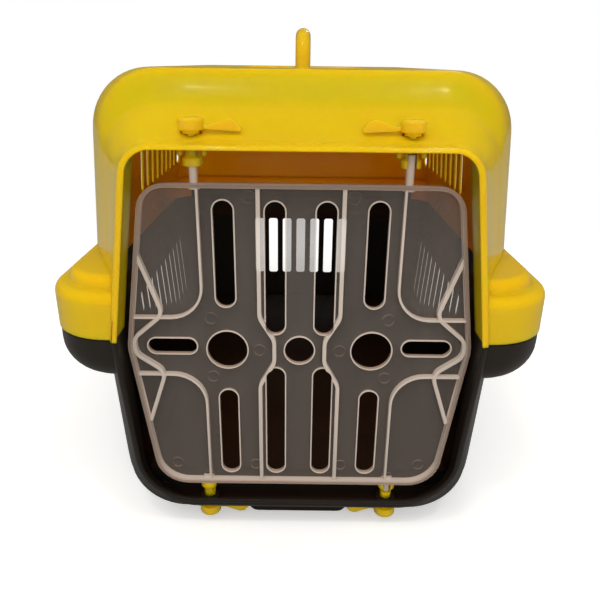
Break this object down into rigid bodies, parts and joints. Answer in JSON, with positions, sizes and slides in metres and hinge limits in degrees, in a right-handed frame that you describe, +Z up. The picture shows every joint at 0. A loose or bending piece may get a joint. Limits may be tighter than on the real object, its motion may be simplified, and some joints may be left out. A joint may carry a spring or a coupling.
{
  "type": "pet carrier",
  "caption": "Two-shell plastic pet carrier with a clear grille door held by turning wing latches, side clips and a folding roof handle.",
  "frame": {"origin": "on the ground plane under the middle of the body", "axes": "+Z up, -Y towards the door, +X to the right of someone facing the door"},
  "size_m": [0.3568, 0.4634, 0.362],
  "materials": {
    "yellow_shell": "glossy injection-moulded plastic, bright yellow",
    "black_shell": "satin black injection-moulded plastic",
    "clear_door": "clear, slightly smoky moulded plastic",
    "yellow_fittings": "glossy moulded plastic, yellow"
  },
  "bodies": {
    "shells": {"top_shell": "yellow_shell", "bottom_shell": "black_shell"},
    "door": {"door": "clear_door"},
    "handle": {"handle": "yellow_fittings"},
    "latch_top_left": {"latch_lever_top_left": "yellow_fittings", "latch_cup_top_left": "yellow_fittings"},
    "latch_top_right": {"latch_lever_top_right": "yellow_fittings", "latch_cup_top_right": "yellow_fittings"},
    "latch_bottom_left": {"latch_lever_bottom_left": "yellow_fittings", "latch_cup_bottom_left": "yellow_fittings"},
    "latch_bottom_right": {"latch_lever_bottom_right": "yellow_fittings", "latch_cup_bottom_right": "yellow_fittings"},
    "clip_front_left": {"clip_front_left": "yellow_fittings"},
    "clip_front_right": {"clip_front_right": "yellow_fittings"},
    "clip_rear_left": {"clip_rear_left": "yellow_fittings"},
    "clip_rear_right": {"clip_rear_right": "yellow_fittings"}
  },
  "joints": [
    {"name": "door_swing", "type": "hinge", "parent": "shells", "child": "door", "pos_m": [-0.068, -0.20375, 0.15], "axis": [0, 0, -1], "range_deg": [0, 120]},
    {"name": "handle_fold", "type": "hinge", "parent": "shells", "child": "handle", "pos_m": [0, -0.00275, 0.324], "axis": [0, 1, 0], "range_deg": [-88, 88]},
    {"name": "latch_top_left_turn", "type": "hinge", "parent": "shells", "child": "latch_top_left", "pos_m": [-0.068, -0.20375, 0.29], "axis": [0, 0, -1], "range_deg": [0, 90]},
    {"name": "latch_top_right_turn", "type": "hinge", "parent": "shells", "child": "latch_top_right", "pos_m": [0.068, -0.20375, 0.29], "axis": [0, 0, 1], "range_deg": [0, 90]},
    {"name": "latch_bottom_left_turn", "type": "hinge", "parent": "shells", "child": "latch_bottom_left", "pos_m": [-0.068, -0.20375, 0.02], "axis": [0, 0, -1], "range_deg": [0, 90]},
    {"name": "latch_bottom_right_turn", "type": "hinge", "parent": "shells", "child": "latch_bottom_right", "pos_m": [0.068, -0.20375, 0.02], "axis": [0, 0, 1], "range_deg": [0, 90]},
    {"name": "clip_front_left_swing", "type": "hinge", "parent": "shells", "child": "clip_front_left", "pos_m": [-0.1746, -0.05975, 0.148], "axis": [0, -1, 0], "range_deg": [0, 115]},
    {"name": "clip_front_right_swing", "type": "hinge", "parent": "shells", "child": "clip_front_right", "pos_m": [0.1746, -0.05975, 0.148], "axis": [0, 1, 0], "range_deg": [0, 115]},
    {"name": "clip_rear_left_swing", "type": "hinge", "parent": "shells", "child": "clip_rear_left", "pos_m": [-0.1746, 0.14025, 0.148], "axis": [0, -1, 0], "range_deg": [0, 115]},
    {"name": "clip_rear_right_swing", "type": "hinge", "parent": "shells", "child": "clip_rear_right", "pos_m": [0.1746, 0.14025, 0.148], "axis": [0, 1, 0], "range_deg": [0, 115]}
  ]
}
